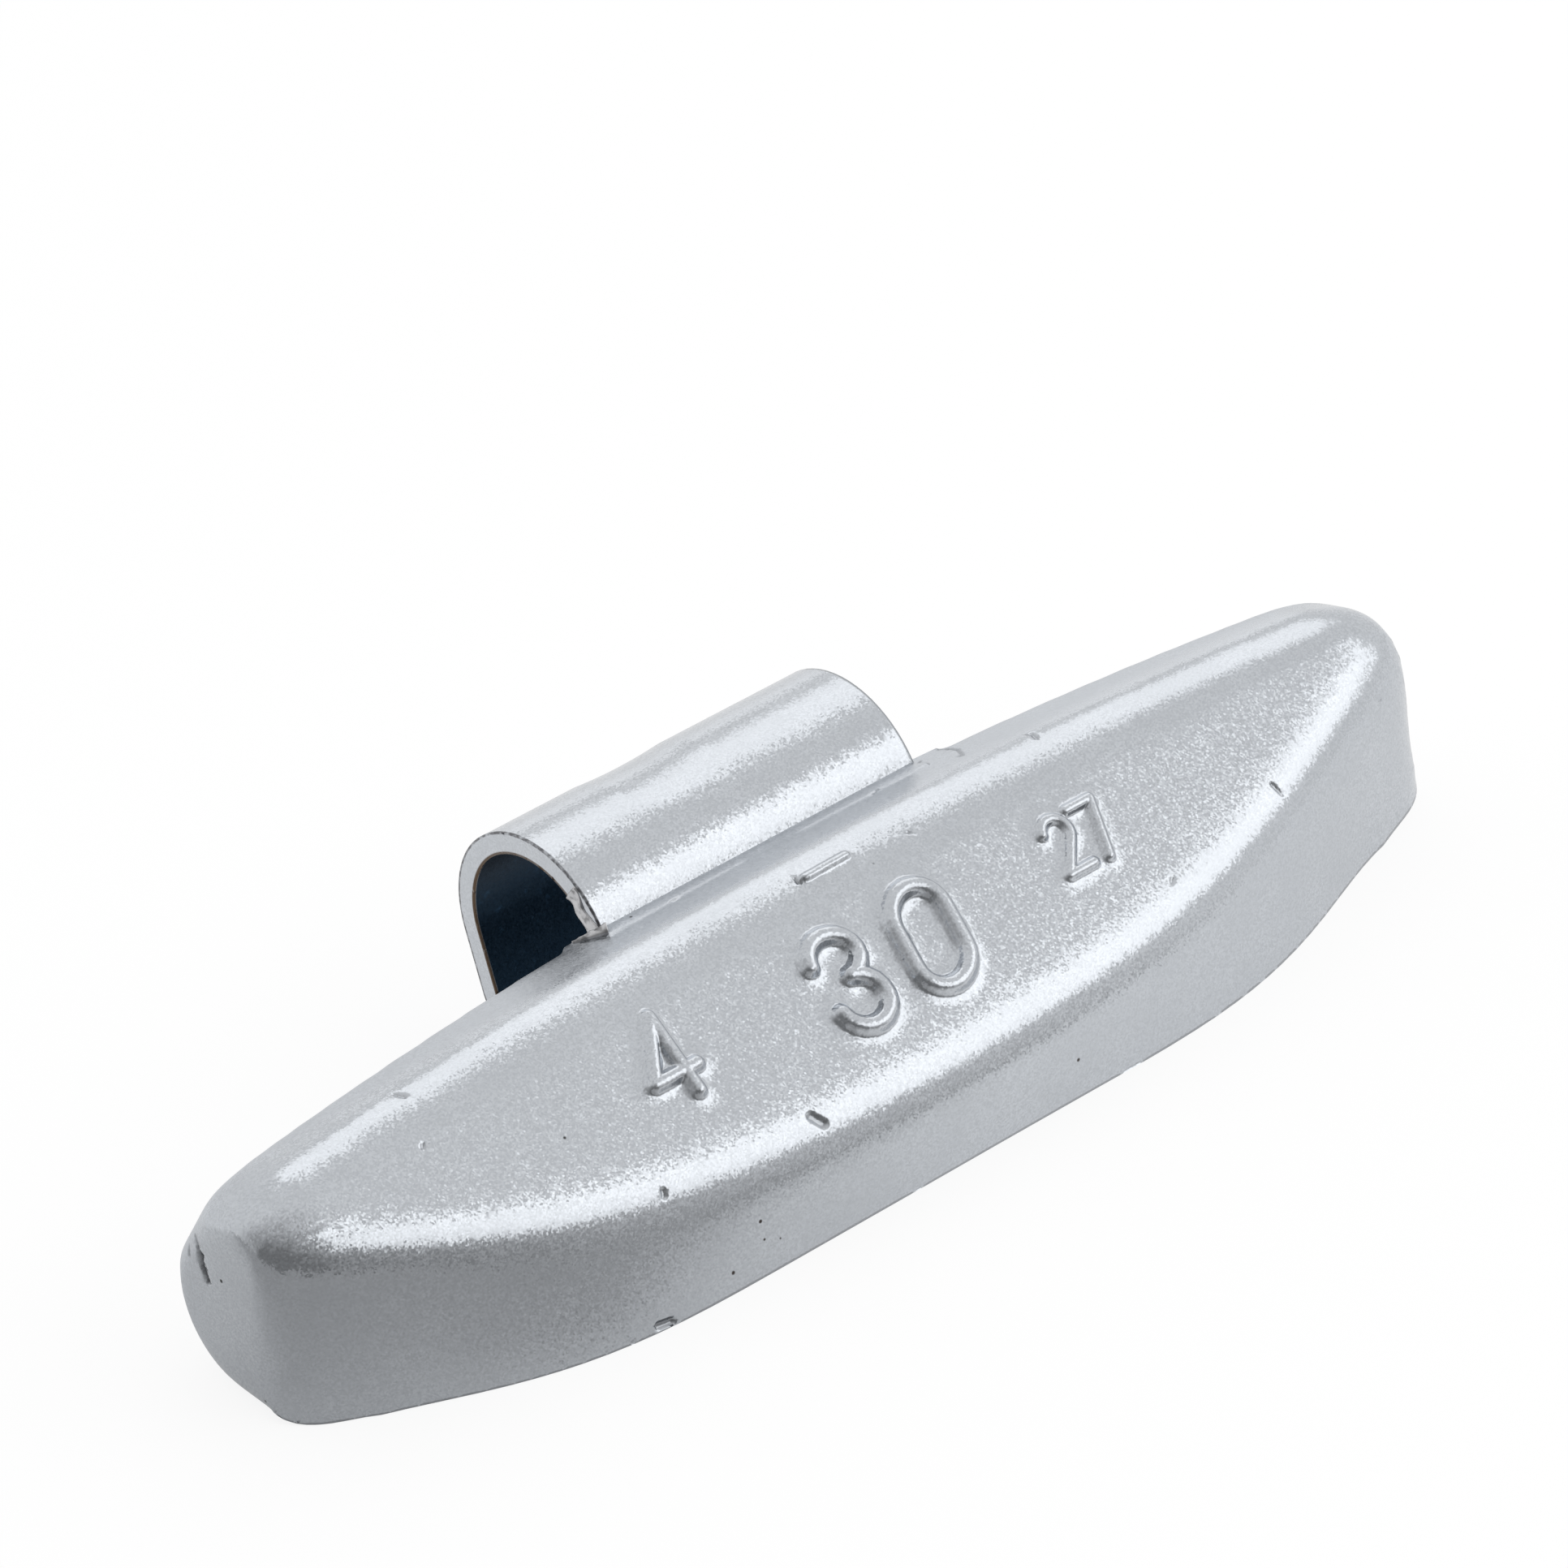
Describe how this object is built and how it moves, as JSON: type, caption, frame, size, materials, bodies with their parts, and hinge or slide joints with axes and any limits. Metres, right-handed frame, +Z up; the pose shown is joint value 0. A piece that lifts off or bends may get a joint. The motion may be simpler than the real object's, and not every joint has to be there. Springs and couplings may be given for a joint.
{
  "type": "wheel balance weight",
  "caption": "Clip-on balance weight for a car wheel rim: boat-shaped zinc casting with a bent spring-steel strip cast into its edge.",
  "frame": {"origin": "on the axis of the clip's bend, midway along the clip's width, where the lip of the rim sits", "axes": "+X along the rim and the length of the weight, +Y from the casting's front wall towards the clip and the rim, +Z up as the weight lies on its flat underside"},
  "size_m": [0.059, 0.0201, 0.0102],
  "materials": {
    "zinc_paint": "satin silver flake paint over the zinc casting",
    "clip_steel": "satin silver flake paint outside, dark bare spring steel on the inside of the bend"
  },
  "bodies": {
    "root": {"cast_body": "zinc_paint", "spring_clip": "clip_steel"}
  },
  "joints": []
}
